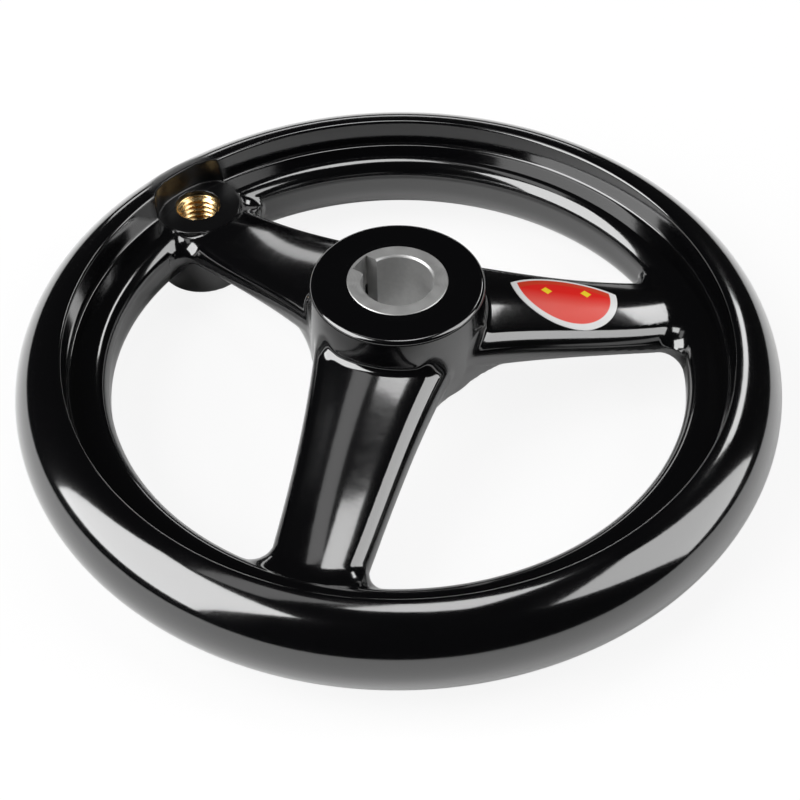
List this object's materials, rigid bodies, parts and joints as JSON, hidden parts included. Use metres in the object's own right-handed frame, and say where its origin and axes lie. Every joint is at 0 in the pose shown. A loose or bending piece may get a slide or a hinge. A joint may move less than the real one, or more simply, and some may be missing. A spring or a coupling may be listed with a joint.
{
  "type": "machine handwheel",
  "caption": "Black three-spoke machine handwheel with a keyed steel bush and a threaded brass insert for a crank handle.",
  "frame": {"origin": "on the bore axis, in the plane of the handle boss's foot, 4.2 mm below the back of the rim", "axes": "+Z along the bore axis towards the hub's face; the spoke without insert and label points to -Y"},
  "size_m": [0.2, 0.2, 0.0472],
  "materials": {
    "moulding": "polished black phenolic moulding",
    "steel": "turned and reamed",
    "brass": "machined",
    "label_print": "glossy printed film"
  },
  "bodies": {
    "root": {"wheel": "moulding", "hub_bush": "steel", "handle_insert": "brass", "label": "label_print"}
  },
  "joints": []
}
